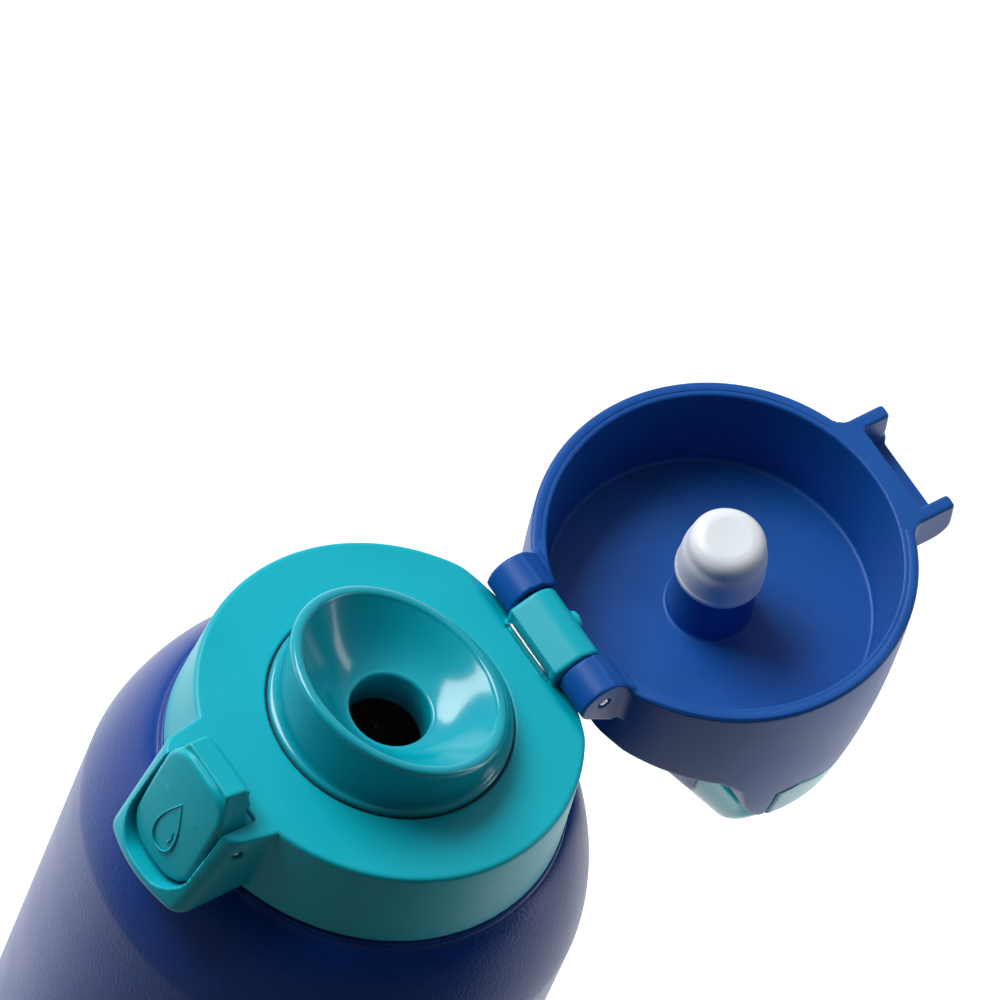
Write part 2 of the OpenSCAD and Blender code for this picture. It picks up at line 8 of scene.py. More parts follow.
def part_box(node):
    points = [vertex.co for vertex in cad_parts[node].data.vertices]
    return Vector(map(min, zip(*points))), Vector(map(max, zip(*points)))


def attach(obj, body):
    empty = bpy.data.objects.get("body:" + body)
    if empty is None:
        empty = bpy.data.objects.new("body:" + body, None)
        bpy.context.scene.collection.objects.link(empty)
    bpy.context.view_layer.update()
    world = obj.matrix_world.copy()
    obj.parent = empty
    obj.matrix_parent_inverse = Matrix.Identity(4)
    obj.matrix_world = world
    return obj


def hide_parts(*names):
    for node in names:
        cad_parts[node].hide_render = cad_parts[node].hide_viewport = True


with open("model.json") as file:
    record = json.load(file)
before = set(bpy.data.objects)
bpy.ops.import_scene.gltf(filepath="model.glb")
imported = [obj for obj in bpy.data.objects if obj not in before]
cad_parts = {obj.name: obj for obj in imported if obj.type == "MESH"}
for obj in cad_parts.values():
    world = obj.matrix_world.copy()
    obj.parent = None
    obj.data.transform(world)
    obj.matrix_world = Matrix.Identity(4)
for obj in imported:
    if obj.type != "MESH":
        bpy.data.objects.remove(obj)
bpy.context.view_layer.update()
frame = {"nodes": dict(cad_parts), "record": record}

# Every length below is in millimetres and becomes metres when a mesh is made.
MM = 0.001
JOINTS = {j["name"]: j for j in frame["record"]["behaviour"]["joints"]}
HINGE_X, _, HINGE_Z = [c / MM for c in JOINTS["cap_open"]["pos_m"]]
OPEN_DEG = -JOINTS["cap_open"]["range_deg"][0]
LATCH_X, _, LATCH_Z = [c / MM for c in JOINTS["latch_press"]["pos_m"]]
# How far the hinge axis and the shut cap's rim lie above the collar's top plane
HINGE_UP, RIM_GAP = 1.1, 0.3
TOP = HINGE_Z - HINGE_UP
RIM = TOP + RIM_GAP


def node_mm(node):
    low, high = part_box(node)
    return [c / MM for c in low], [c / MM for c in high]


# ---------------------------------------------------------------- signed distance shapes

# A sloped side is scaled by about the cosine of its slope, so that its offset stays a distance.

def smin(a, b, k):
    """The union of two shapes with a fillet about k wide."""
    h = np.maximum(k - np.abs(a - b), 0) / k
    return np.minimum(a, b) - h * h * k * 0.25


def smax(a, b, k):
    """What two shapes share, with a rounded edge about k wide."""
    return -smin(-a, -b, k)


def slab(u, half):
    return np.abs(u) - half


def box(x, y, z, centre, half, r=0.3):
    q = [np.abs(v - c) - (h - r) for v, c, h in zip((x, y, z), centre, half)]
    outside = np.sqrt(np.maximum(q[0], 0) ** 2 + np.maximum(q[1], 0) ** 2 + np.maximum(q[2], 0) ** 2)
    return outside + np.minimum(np.maximum(np.maximum(q[0], q[1]), q[2]), 0) - r


def rounded_rect(u, v, half_u, half_v, r):
    qu, qv = np.abs(u) - half_u + r, np.abs(v) - half_v + r
    outside = np.sqrt(np.maximum(qu, 0) ** 2 + np.maximum(qv, 0) ** 2)
    return outside + np.minimum(np.maximum(qu, qv), 0) - r


def polygon(u, v, points):
    """Signed distance to a simple polygon, negative inside."""
    best, sign = None, None
    for i, (ax, ay) in enumerate(points):
        bx, by = points[i - 1]
        ex, ey = bx - ax, by - ay
        wx, wy = u - ax, v - ay
        t = np.clip((wx * ex + wy * ey) / (ex * ex + ey * ey), 0, 1)
        d = (wx - ex * t) ** 2 + (wy - ey * t) ** 2
        best = d if best is None else np.minimum(best, d)
        c1, c2, c3 = v >= ay, v < by, ex * wy > ey * wx
        flip = np.where((c1 & c2 & c3) | (~c1 & ~c2 & ~c3), -1.0, 1.0)
        sign = flip if sign is None else sign * flip
    return sign * np.sqrt(best)


def arc(centre, r, a0, a1, n=16):
    """Points from a0 to a1 degrees round a centre."""
    angles = [math.radians(a0 + (a1 - a0) * i / n) for i in range(n + 1)]
    return [(centre[0] + r * math.cos(a), centre[1] + r * math.sin(a)) for a in angles]


# ---------------------------------------------------------------- distance field to mesh

CORNERS = [(i, j, k) for i in (0, 1) for j in (0, 1) for k in (0, 1)]
SLAB_ROWS = 24
SNAP_ROUNDS = 3
EDGES = [(a, b) for a in range(8) for b in range(a + 1, 8)
         if sum(abs(p - q) for p, q in zip(CORNERS[a], CORNERS[b])) == 1]


def surface_net(field, low, high, step):
    """Vertices, quads and normals of the field's zero surface on a grid of cubes."""
    axes = [np.arange(l, h + step, step, dtype=np.float32) for l, h in zip(low, high)]
    x, y, z = axes[0][:, None, None], axes[1][None, :, None], axes[2][None, None, :]
    value = np.empty([len(a) for a in axes], np.float32)
    for s in range(0, value.shape[0], SLAB_ROWS):
        value[s:s + SLAB_ROWS] = field(x[s:s + SLAB_ROWS], y, z)
    inside = value < 0
    shape = [n - 1 for n in value.shape]
    count = np.zeros(shape, np.int8)
    for i, j, k in CORNERS:
        count += inside[i:i + shape[0], j:j + shape[1], k:k + shape[2]]
    cells = np.argwhere((count > 0) & (count < 8))
    corner = np.stack([value[cells[:, 0] + i, cells[:, 1] + j, cells[:, 2] + k] for i, j, k in CORNERS], 1)
    total, hits = np.zeros((len(cells), 3)), np.zeros(len(cells))
    for a, b in EDGES:
        va, vb = corner[:, a], corner[:, b]
        cross = (va < 0) != (vb < 0)
        t = np.where(cross, va / np.where(cross, va - vb, 1), 0)[:, None]
        p = np.array(CORNERS[a]) * (1 - t) + np.array(CORNERS[b]) * t
        total += np.where(cross[:, None], p, 0)
        hits += cross
    points = np.array(low) + step * (cells + total / hits[:, None])
    index = np.full(shape, -1, np.int32)
    index[tuple(cells.T)] = np.arange(len(cells))
    quads = []
    for axis in range(3):
        u, v = (axis + 1) % 3, (axis + 2) % 3
        first = [slice(None)] * 3
        second = [slice(None)] * 3
        first[axis], second[axis] = slice(None, -1), slice(1, None)
        a, b = inside[tuple(first)], inside[tuple(second)]
        at = np.argwhere(a != b)
        at = at[(at[:, u] > 0) & (at[:, v] > 0) & (at[:, u] < shape[u]) & (at[:, v] < shape[v])]
        ring = []
        for du, dv in ((-1, -1), (0, -1), (0, 0), (-1, 0)):
            c = at.copy()
            c[:, u] += du
            c[:, v] += dv
            ring.append(index[tuple(c.T)])
        quad = np.stack(ring, 1)
        out = a[tuple(at.T)]
        quad[~out] = quad[~out][:, ::-1]
        quads.append(quad)
    quads = np.concatenate(quads)
    quads = quads[(quads >= 0).all(1)]
    # The points are drawn onto the surface itself, which sharpens the edges
    for _ in range(SNAP_ROUNDS):
        normal, here = gradient(field, points)
        length2 = np.maximum((normal ** 2).sum(1), 0.05)
        move = -normal * (here / length2)[:, None]
        reach = np.linalg.norm(move, axis=1, keepdims=True)
        points += move * np.minimum(1, 0.4 * step / np.maximum(reach, 1e-9))
    normal, _ = gradient(field, points)
    return points, quads, normal / np.maximum(np.linalg.norm(normal, axis=1, keepdims=True), 1e-9)


def gradient(field, p, e=0.04):
    """The field's slope and value at the points."""
    p = p.astype(np.float64)
    g = np.empty_like(p)
    for i in range(3):
        d = np.zeros(3)
        d[i] = e
        g[:, i] = (field(*(p + d).T) - field(*(p - d).T)) / (2 * e)
    return g, field(*p.T)


def cap_swing():
    """The matrix that takes the cap from shut to its open rest position, in millimetres."""
    hinge = Matrix.Translation((HINGE_X, 0, HINGE_Z))
    turn = hinge @ Matrix.Rotation(math.radians(OPEN_DEG), 4, "Y") @ hinge.inverted()
    return turn @ Matrix.Translation((0, 0, RIM))


def add_mesh(name, points, faces, body, slot, replaces=(), matrix=None, normals=None):
    points = np.asarray(points, float)
    if matrix is not None:
        m = np.array(matrix)
        points = points @ m[:3, :3].T + m[:3, 3]
        if normals is not None:
            normals = normals @ m[:3, :3].T
    mesh = bpy.data.meshes.new(name)
    mesh.from_pydata((points * MM).tolist(), [], [list(map(int, f)) for f in faces])
    mesh.polygons.foreach_set("use_smooth", [True] * len(mesh.polygons))
    if normals is not None:
        mesh.normals_split_custom_set_from_vertices(normals.tolist())
    mesh.update()
    piece = bpy.data.objects.new(name, mesh)
    bpy.context.scene.collection.objects.link(piece)
    mesh.materials.append(MATERIALS[slot])
    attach(piece, body)
    if replaces:
        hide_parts(*replaces)
    return piece


def moulded(name, field, low, high, step, body, slot, replaces=(), matrix=None):
    points, quads, normals = surface_net(field, low, high, step)
    return add_mesh(name, points, quads, body, slot, replaces, matrix, normals)


def lathe(name, profile, body, slot, replaces=(), matrix=None, segments=192, closed=True, rings=None):
    """Turns an outline of (radius, height) round the Z axis; rings moves each turned ring."""
    points, faces = [], []
    for i, (r, h) in enumerate(profile):
        for s in range(segments):
            a = 2 * math.pi * s / segments
            p = (r * math.cos(a), r * math.sin(a), h)
            points.append(rings(i, p) if rings else p)
    count = len(profile)
    for i in range(count if closed else count - 1):
        j = (i + 1) % count
        for s in range(segments):
            t = (s + 1) % segments
            faces.append((i * segments + s, i * segments + t, j * segments + t, j * segments + s))
    return add_mesh(name, points, faces, body, slot, replaces, matrix)


def tube(name, path, r, body, slot, replaces=(), matrix=None, sides=12):
    """A round wire along a path, closed with flat ends."""
    path = [Vector(p) for p in path]
    points, faces = [], []
    side = None
    for i, p in enumerate(path):
        way = (path[min(i + 1, len(path) - 1)] - path[max(i - 1, 0)]).normalized()
        side = way.orthogonal().normalized() if side is None else (side - way * side.dot(way)).normalized()
        other = way.cross(side)
        for s in range(sides):
            a = 2 * math.pi * s / sides
            points.append(tuple(p + r * (math.cos(a) * side + math.sin(a) * other)))
    for i in range(len(path) - 1):
        for s in range(sides):
            t = (s + 1) % sides
            faces.append((i * sides + s, i * sides + t, (i + 1) * sides + t, (i + 1) * sides + s))
    faces.append(tuple(range(sides))[::-1])
    faces.append(tuple(range((len(path) - 1) * sides, len(path) * sides)))
    return add_mesh(name, points, faces, body, slot, replaces, matrix)


# ---------------------------------------------------------------- materials

def node(tree, kind, **values):
    made = tree.nodes.new(kind)
    for key, value in values.items():
        if key in made.inputs:
            made.inputs[key].default_value = value
        else:
            setattr(made, key, value)
    return made


def noise(tree, coords, per_mm, detail=2.0, rough=0.5, stretch=(1, 1, 1)):
    mapping = node(tree, "ShaderNodeMapping")
    mapping.inputs["Scale"].default_value = stretch
    tree.links.new(coords.outputs["Object"], mapping.inputs["Vector"])
    made = node(tree, "ShaderNodeTexNoise", Scale=per_mm / MM, Detail=detail, Roughness=rough)
    tree.links.new(mapping.outputs["Vector"], made.inputs["Vector"])
    return made


# Where a colour mix node keeps its factor, its two colours and its result
MIX_FACTOR, MIX_A, MIX_B, MIX_OUT = 0, 6, 7, 2


def plastic(name, color, rough, grain=0.02, grain_mm=0.5, tone=0.12, coat=0.0, coat_rough=0.2,
            specular=0.5, metallic=0.0, mottling=0.08, subsurface=0.0, scatter=(1, 1, 1), patch_mm=18):
    """A moulded or coated surface: colour drift, roughness drift and a fine surface grain."""
    mat = bpy.data.materials.new(name)
    mat.use_nodes = True
    tree = mat.node_tree
    shader = tree.nodes["Principled BSDF"]
    shader.inputs["Metallic"].default_value = metallic
    shader.inputs["Specular IOR Level"].default_value = specular
    shader.inputs["Coat Weight"].default_value = coat
    shader.inputs["Coat Roughness"].default_value = coat_rough
    if subsurface:
        shader.inputs["Subsurface Weight"].default_value = subsurface
        shader.inputs["Subsurface Radius"].default_value = scatter
        shader.inputs["Subsurface Scale"].default_value = 0.004
    coords = node(tree, "ShaderNodeTexCoord")
    drift = noise(tree, coords, 1 / patch_mm, 3)
    fine = noise(tree, coords, 1 / (grain_mm * 0.6), 1)
    blend = node(tree, "ShaderNodeMix", data_type="RGBA")
    dark = [c * (1 - tone) for c in color]
    light = [min(1, c * (1 + tone) + 0.004) for c in color]
    blend.inputs[MIX_A].default_value = (*dark, 1)
    blend.inputs[MIX_B].default_value = (*light, 1)
    mixed = node(tree, "ShaderNodeMath", operation="MULTIPLY_ADD")
    tree.links.new(fine.outputs["Fac"], mixed.inputs[0])
    mixed.inputs[1].default_value = 0.5
    tree.links.new(drift.outputs["Fac"], mixed.inputs[2])
    shifted = node(tree, "ShaderNodeMath", operation="SUBTRACT")
    tree.links.new(mixed.outputs[0], shifted.inputs[0])
    shifted.inputs[1].default_value = 0.25
    tree.links.new(shifted.outputs[0], blend.inputs[MIX_FACTOR])
    tree.links.new(blend.outputs[MIX_OUT], shader.inputs["Base Color"])
    gloss = node(tree, "ShaderNodeMapRange")
    tree.links.new(drift.outputs["Fac"], gloss.inputs["Value"])
    gloss.inputs["To Min"].default_value = max(0.02, rough - mottling)
    gloss.inputs["To Max"].default_value = rough + mottling
    tree.links.new(gloss.outputs["Result"], shader.inputs["Roughness"])
    bump = node(tree, "ShaderNodeBump", Strength=1.0, Distance=grain * MM)
    texture = noise(tree, coords, 1 / grain_mm, 2, 0.55)
    tree.links.new(texture.outputs["Fac"], bump.inputs["Height"])
    tree.links.new(bump.outputs["Normal"], shader.inputs["Normal"])
    return mat


LOOKS = {
    "body_blue": dict(color=(0.0003, 0.040, 0.25), rough=0.30, grain=0.11, grain_mm=0.8, tone=0.10,
                      specular=0.25),
    "cap_blue": dict(color=(0.002, 0.080, 0.36), rough=0.40, grain=0.03, grain_mm=0.28, tone=0.18,
                     specular=0.28),
    "collar_teal": dict(color=(0.0002, 0.42, 0.52), rough=0.36, grain=0.024, grain_mm=0.26, tone=0.05,
                        specular=0.25),
    "cover_teal": dict(color=(0.0005, 0.40, 0.48), rough=0.24, grain=0.008, grain_mm=0.6, tone=0.04,
                       coat=0.1, coat_rough=0.1, specular=0.3),
    "spout_teal": dict(color=(0.0002, 0.36, 0.46), rough=0.20, grain=0.006, grain_mm=1.4, tone=0.04,
                       coat=0.25, coat_rough=0.08, mottling=0.04, specular=0.4),
    "white_silicone": dict(color=(0.80, 0.84, 0.90), rough=0.42, grain=0.006, grain_mm=0.9, tone=0.02,
                           subsurface=0.35, scatter=(0.9, 1.0, 1.1)),
    "liner_white": dict(color=(0.72, 0.74, 0.75), rough=0.42, grain=0.01, grain_mm=0.5, tone=0.03),
    "black_rubber": dict(color=(0.012, 0.012, 0.014), rough=0.62, grain=0.02, grain_mm=0.4, tone=0.2),
    "steel": dict(color=(0.56, 0.55, 0.54), rough=0.26, grain=0.004, grain_mm=0.3, tone=0.08,
                  metallic=1.0),
}
MATERIALS = {name: plastic(name, **look) for name, look in LOOKS.items()}


def carry_over_nodes():
    """CAD nodes that stay as they are get the same procedural materials."""
    slots = {s["node"]: s["material_slot"] for s in frame["record"]["subparts"]}
    for name, obj in frame["nodes"].items():
        mat = MATERIALS[slots[name]]
        if not obj.material_slots:
            obj.data.materials.append(mat)
        for place in obj.material_slots:
            place.material = mat


# ---------------------------------------------------------------- body

BODY_R = node_mm("outer_shell")[1][0]
NECK_TOP = node_mm("outer_shell")[1][2]
LIP_R, LIP_ROUND, LIP_Z = 49.5, 1.1, TOP - 24.4
SHOULDER_H, SHOULDER_N = 29, 1.4
NECK_R = 40.4
STEEL_T = 0.8
FOOT_Z = node_mm("outer_shell")[0][2]


def shoulder(r0, r1, z0, h, n=40):
    """A shoulder from r0 at height z0 out to r1, h lower."""
    out = []
    for i in range(n + 1):
        t = math.pi / 2 * i / n
        out.append((r0 + (r1 - r0) * math.sin(t) ** (2 / SHOULDER_N),
                    z0 - h * (1 - max(math.cos(t), 0) ** (2 / SHOULDER_N))))
    return out


def ridge(r, h, z, turns=1.2, pitch=6, width=1.8):
    """A helical thread ridge as its own closed strip, rooted just inside radius r."""
    steps = round(turns * 90)
    run_out = 9
    root = -0.3
    section = [(root, -width / 2), (h * 0.5, -width * 0.36), (h * 0.92, -width * 0.2), (h, 0),
               (h * 0.92, width * 0.2), (h * 0.5, width * 0.36), (root, width / 2)]
    points, faces = [], []
    for i in range(steps + 1):
        a = 2 * math.pi * turns * i / steps
        run = max(0.03, min(1, i / run_out, (steps - i) / run_out))
        for d, w in section:
            q = root + (d - root) * run
            points.append(((r + q) * math.cos(a), (r + q) * math.sin(a), z + pitch * turns * i / steps + w))
    k = len(section)
    for i in range(steps):
        for s in range(k):
            t = (s + 1) % k
            faces.append((i * k + s, i * k + t, (i + 1) * k + t, (i + 1) * k + s))
    faces += [tuple(range(k))[::-1], tuple(range(steps * k, steps * k + k))]
    return points, faces


def make_body():
    outer = [(BODY_R - STEEL_T, FOOT_Z + 0.2), (BODY_R - 0.55, FOOT_Z), (BODY_R - 0.25, FOOT_Z + 0.05),
             (BODY_R - 0.05, FOOT_Z + 0.4), (BODY_R, FOOT_Z + 1.0), (BODY_R, FOOT_Z + 2.0)]
    straight_top = LIP_Z - LIP_ROUND - SHOULDER_H
    outer += [(BODY_R, FOOT_Z + 2 + (straight_top - FOOT_Z - 3) * i / 24) for i in range(1, 25)]
    outer += shoulder(LIP_R - LIP_ROUND, BODY_R, LIP_Z - LIP_ROUND, SHOULDER_H)[::-1]
    bead = (LIP_R - LIP_ROUND - 1, LIP_Z - LIP_ROUND)
    outer += arc(bead, LIP_ROUND, 0, 90, 8)
    outer += [(NECK_R + 0.8, LIP_Z), (NECK_R + 0.2, LIP_Z + 0.2), (NECK_R, LIP_Z + 0.8)]
    outer += [(NECK_R, NECK_TOP - 0.5), (NECK_R - 0.15, NECK_TOP - 0.1), (NECK_R - STEEL_T, NECK_TOP)]
    inner = [(NECK_R - STEEL_T, LIP_Z - STEEL_T)]
    inner += shoulder(LIP_R - LIP_ROUND - STEEL_T - 0.4, BODY_R - STEEL_T,
                      LIP_Z - LIP_ROUND - STEEL_T, SHOULDER_H)
    lathe("body_shell", outer + inner, "jug", "body_blue", ["outer_shell"], segments=256)
    points, faces = ridge(NECK_R, 1.1, LIP_Z + 2.2)
    add_mesh("body_thread", points, faces, "jug", "steel")


# ---------------------------------------------------------------- collar with hinge block and latch housing

# Heights from here to the spout are measured from the collar's top plane
COLLAR_R, COLLAR_FLARE, COLLAR_H = 46.0, 1.8, 23.7
DECK_T, COLLAR_T = 2.4, 2.2
SKIRT_THIN, SKIRT_THIN_Z = 1.8, -17.7
SPOUT_OPENING = 29.35
FLAT_X, FLAT_DEG, FLAT_HALF, FLAT_START = 37.5, 36, 7.5, 20
ROOT_X, ROOT_Z = 33, -7.6
KNUCKLE_R, KNUCKLE_HALF = 5.6, 9.9
BLOCK_X, BLOCK_TOP, BLOCK_BOTTOM = 39.4, 3.1, -9
KNOB_Y, KNOB_UP, KNOB_R = 1.2, 0.4, 2.7
LEG_SLOT_X, LEG_SLOT_HALF = 38.7, (0.72, 8.1, 2.2)
BUTTON_X, BUTTON_Z, BUTTON_LEAN = 58.4, -7.3, math.radians(9)
BUTTON_HALF_W, BUTTON_HALF_H, BUTTON_ROUND = 10.75, 16.0, 7.0
SIDE_BOW, END_BOW, END_BOW_HALF = 0.045, 0.03, 11
# The button's face falls away from its middle by the square of the distance over these
FACE_BEND_U, FACE_BEND_V = 150, 900
RECESS_DEPTH, RECESS_GAP = 6.9, 0.85
POCKET_HALF, POCKET_Z = (5.9, 11.8, 13), -9.5
PIN_HOLE_R, PIN_HOLE_FROM = 1.4, 14.2
HOUSING_X, HOUSING_HALF, HOUSING_TAPER = -43, 17.2, 0.169
HOUSING_FRONT_X, HOUSING_FRONT_R, HOUSING_FRONT_SLOPE = -31, 26.9, 8.4 / 32
HOUSING_END = -36


def button_frame(x, y, z):
    """Width, height and outward depth measured from the middle of the push button's face."""
    dx, dz = x + BUTTON_X, z - BUTTON_Z
    up = dx * math.sin(BUTTON_LEAN) + dz * math.cos(BUTTON_LEAN)
    out = -dx * math.cos(BUTTON_LEAN) + dz * math.sin(BUTTON_LEAN)
    return y, up, out + y * y / FACE_BEND_U + up * up / FACE_BEND_V


def button_outline(u, v, grow=0.0):
    """The button's outline, whose four sides bow outwards a little."""
    su = u / (1 + SIDE_BOW * (1 - np.clip(v / BUTTON_HALF_H, -1, 1) ** 2))
    sv = v / (1 + END_BOW * (1 - np.clip(u / END_BOW_HALF, -1, 1) ** 2))
    return rounded_rect(su, sv, BUTTON_HALF_W + grow, BUTTON_HALF_H + grow, BUTTON_ROUND + grow)


def housing_field(x, y, z):
    """The latch housing: straight tapering sides, a round front and a sloped underside."""
    half = HOUSING_HALF + (x - HOUSING_X) * HOUSING_TAPER
    side = (np.abs(y) - half) * 0.986
    front_r = np.sqrt((x - HOUSING_FRONT_X) ** 2 + y ** 2)
    front = (front_r - (HOUSING_FRONT_R - HOUSING_FRONT_SLOPE * z)) * 0.966
    under = np.maximum(-22.4 + (x + 47.5) * 0.509, -28.2 - (x + 58.5) * 0.12) - z
    s = smax(side, front, 2.2)
    s = smax(s, z, 1.0)
    s = smax(s, under * 0.89, 2.6)
    return np.maximum(s, x - HOUSING_END)


def collar_cavity(r, x, z):
    """The room inside the skirt and under the deck, less the root of the hinge block."""
    r_in = COLLAR_R - COLLAR_T + np.clip((SKIRT_THIN_Z - z) / 6, 0, 1) * SKIRT_THIN
    cavity = np.maximum(r - r_in, z + DECK_T)
    root = np.maximum(ROOT_X - x, ROOT_Z - z)
    cavity = np.maximum(cavity, -root)
    return np.minimum(cavity, np.maximum(r - r_in, z + COLLAR_H - 1))


def hinge_block(x, y, z):
    """The collar's middle knuckle: a barrel with a tangent flat on its inner side and a small knob."""
    barrel = np.sqrt((x - HINGE_X) ** 2 + (z - HINGE_UP) ** 2) - KNUCKLE_R
    outline = polygon(x, z, [
        (BLOCK_X, BLOCK_BOTTOM), (BLOCK_X, BLOCK_TOP),
        (HINGE_X - KNUCKLE_R * 0.5, HINGE_UP + KNUCKLE_R * 0.866), (HINGE_X, HINGE_UP),
        (HINGE_X + KNUCKLE_R * 0.819, HINGE_UP - KNUCKLE_R * 0.574), (46.4, BLOCK_BOTTOM)])
    block = smax(np.minimum(barrel, outline), slab(y, KNUCKLE_HALF), 1.0)
    return block


def hinge_knob(x, y, z):
    round_part = np.sqrt((y - KNOB_Y) ** 2 + (z - HINGE_UP - KNOB_UP) ** 2) - KNOB_R
    return smax(round_part, slab(x - 50, 3.3), 0.7)


def collar_field(x, y, z):
    r = np.sqrt(x * x + y * y)
    s = smax((r - (COLLAR_R - COLLAR_FLARE * z / COLLAR_H)) * 0.997, z, 1.3)
    s = smax(s, -COLLAR_H - z, 0.9)
    s = smin(s, housing_field(x, y, z), 0.02 + 1.5 * np.clip((-z - 0.6) / 3, 0, 1))
    cavity = collar_cavity(r, x, z)
    s = smax(s, -cavity, 0.5)
    s = smax(s, SPOUT_OPENING - r, 0.7)
    # The sloped flat in the deck in front of the hinge
    a = math.radians(FLAT_DEG)
    above = (x - FLAT_X) * math.sin(a) + z * math.cos(a)
    flat = np.maximum(np.maximum(-above, FLAT_HALF - np.abs(y)), FLAT_START - x)
    s = smax(s, -flat, 0.7)
    block = np.maximum(hinge_block(x, y, z), -cavity)
    block = smin(block, hinge_knob(x, y, z), 0.5)
    s = smin(s, block, 0.7)
    s = smax(s, -box(x, y, z, (LEG_SLOT_X, 0, 0.9), LEG_SLOT_HALF, 0.25), 0.25)
    # Button recess, lever pocket and pin holes
    u, v, w = button_frame(x, y, z)
    recess = np.maximum(button_outline(u * 1.03, v + 0.4, RECESS_GAP), -RECESS_DEPTH - w)
    s = smax(s, -recess, 0.5)
    pocket = box(x, y, z, (LATCH_X, 0, POCKET_Z), POCKET_HALF, 0.5)
    s = smax(s, -pocket, 0.5)
    hole = np.sqrt((x - LATCH_X) ** 2 + (z - LATCH_Z + TOP) ** 2) - PIN_HOLE_R
    return smax(s, -np.maximum(hole, PIN_HOLE_FROM - np.abs(y)), 0.25)


def make_collar():
    moulded("lid_collar_body", collar_field, (-66.5, -48.6, -31), (53.6, 48.6, 7.4), STEP,
            "lid", "collar_teal", ["lid_collar"], Matrix.Translation((0, 0, TOP)))


# ---------------------------------------------------------------- latch lever

PLATE_T = 3.1
HOOK_HALF, HOOK_TAPER = 11.4, 0.355
HOOK_BACK_X, HOOK_FRONT_X, HOOK_TOP, HOOK_BOTTOM = -45.8, -55.2, 9.0, -11
DROP_HALF, DROP_MID, DROP_H = 4.9, -3.2, 8.0
GLINT_HALF, GLINT_MID, GLINT_H = 2.2, -5.6, 2.8


def hook_block(x, y, z):
    """The block that stands up from the lever; it narrows as it rises from the deck."""
    half = HOOK_HALF - np.clip(z, -1, 12) * HOOK_TAPER
    back = x - HOOK_BACK_X + np.clip(z, 0, 12) * 0.24 + np.clip(-5.8 - z, 0, 9) * 0.22
    front = -(x - HOOK_FRONT_X - np.clip(z, 0, 12) * 0.14)
    hook = smax(smax((np.abs(y) - half) * 0.94, back * 0.97, 0.7), front, 0.7)
    hook = smax(hook, z - (HOOK_TOP - (x + 48) * 0.08), 0.7)
    hook = np.maximum(hook, HOOK_BOTTOM - z)
    hollow = box(x, y, z, (-45, 0, 1.4), (3.0, 12.5, 2.2), 0.2)
    return smax(hook, -hollow, 0.4)


def lever_field(x, y, z):
    u, v, w = button_frame(x, y, z)
    s = smax(button_outline(u, v), w, 1.5)
    s = smax(s, -(w + PLATE_T), 0.8)
    s = smin(s, hook_block(x, y, z), 0.4)
    nose = box(x, y, z, (-47.6, 0, 4.8), (1.7, 7.6, 1.3), 0.4)
    s = smin(s, nose, 0.5)
    neck = box(x, y, z, (-55.2, 0, -7), (2.4, 6, 4), 0.4)
    return smin(s, neck, 0.4)


def on_button(u, v):
    """A point at the button's face, u across and v up from its middle, slightly proud towards the edge."""
    w = -(u * u / FACE_BEND_U + v * v / FACE_BEND_V)
    return (-BUTTON_X + v * math.sin(BUTTON_LEAN) + w * math.cos(BUTTON_LEAN), u,
            BUTTON_Z + v * math.cos(BUTTON_LEAN) + w * math.sin(BUTTON_LEAN))


def make_drop_mark():
    """A raised water drop, drawn as a closed line with its tip up, and a short glint inside it."""
    drop = []
    for i in range(61):
        t = 2 * math.pi * i / 60
        across = DROP_HALF * math.sin(t) * abs(math.sin(t / 2)) ** 1.25
        drop.append(on_button(across, DROP_MID + DROP_H * math.cos(t)))
    glint = []
    for i in range(11):
        t = math.radians(-42 + 84 * i / 10)
        glint.append(on_button(-GLINT_HALF * math.cos(t), GLINT_MID + GLINT_H * math.sin(t)))
    lift = Matrix.Translation((0, 0, TOP))
    tube("drop_line", drop, 0.24, "latch", "collar_teal", (), lift, sides=10)
    tube("drop_glint", glint, 0.22, "latch", "collar_teal", (), lift, sides=10)


def make_lever():
    moulded("latch_lever_body", lever_field, (-63.5, -12.6, -25.4), (-43.6, 12.6, 12.6), STEP * 0.72,
            "latch", "collar_teal", ["latch_lever"], Matrix.Translation((0, 0, TOP)))


# ---------------------------------------------------------------- spout

SPOUT_R, SPOUT_LIP_R, SPOUT_LIP_W = 28.9, 27.6, 3.3
SPOUT_H, SPOUT_TILT, SPOUT_SHIFT = 13.9, math.radians(14.8), -1.33
SPOUT_FOOT_IN, SPOUT_FOOT_H = 1.55, 2.6
HOLE_R, HOLE_ROUND, HOLE_DEPTH, HOLE_TUBE_T = 9.6, 0.9, 10.5, 2
BOWL_STEEP, BOWL_TOP_UP = 0.42, 0.1


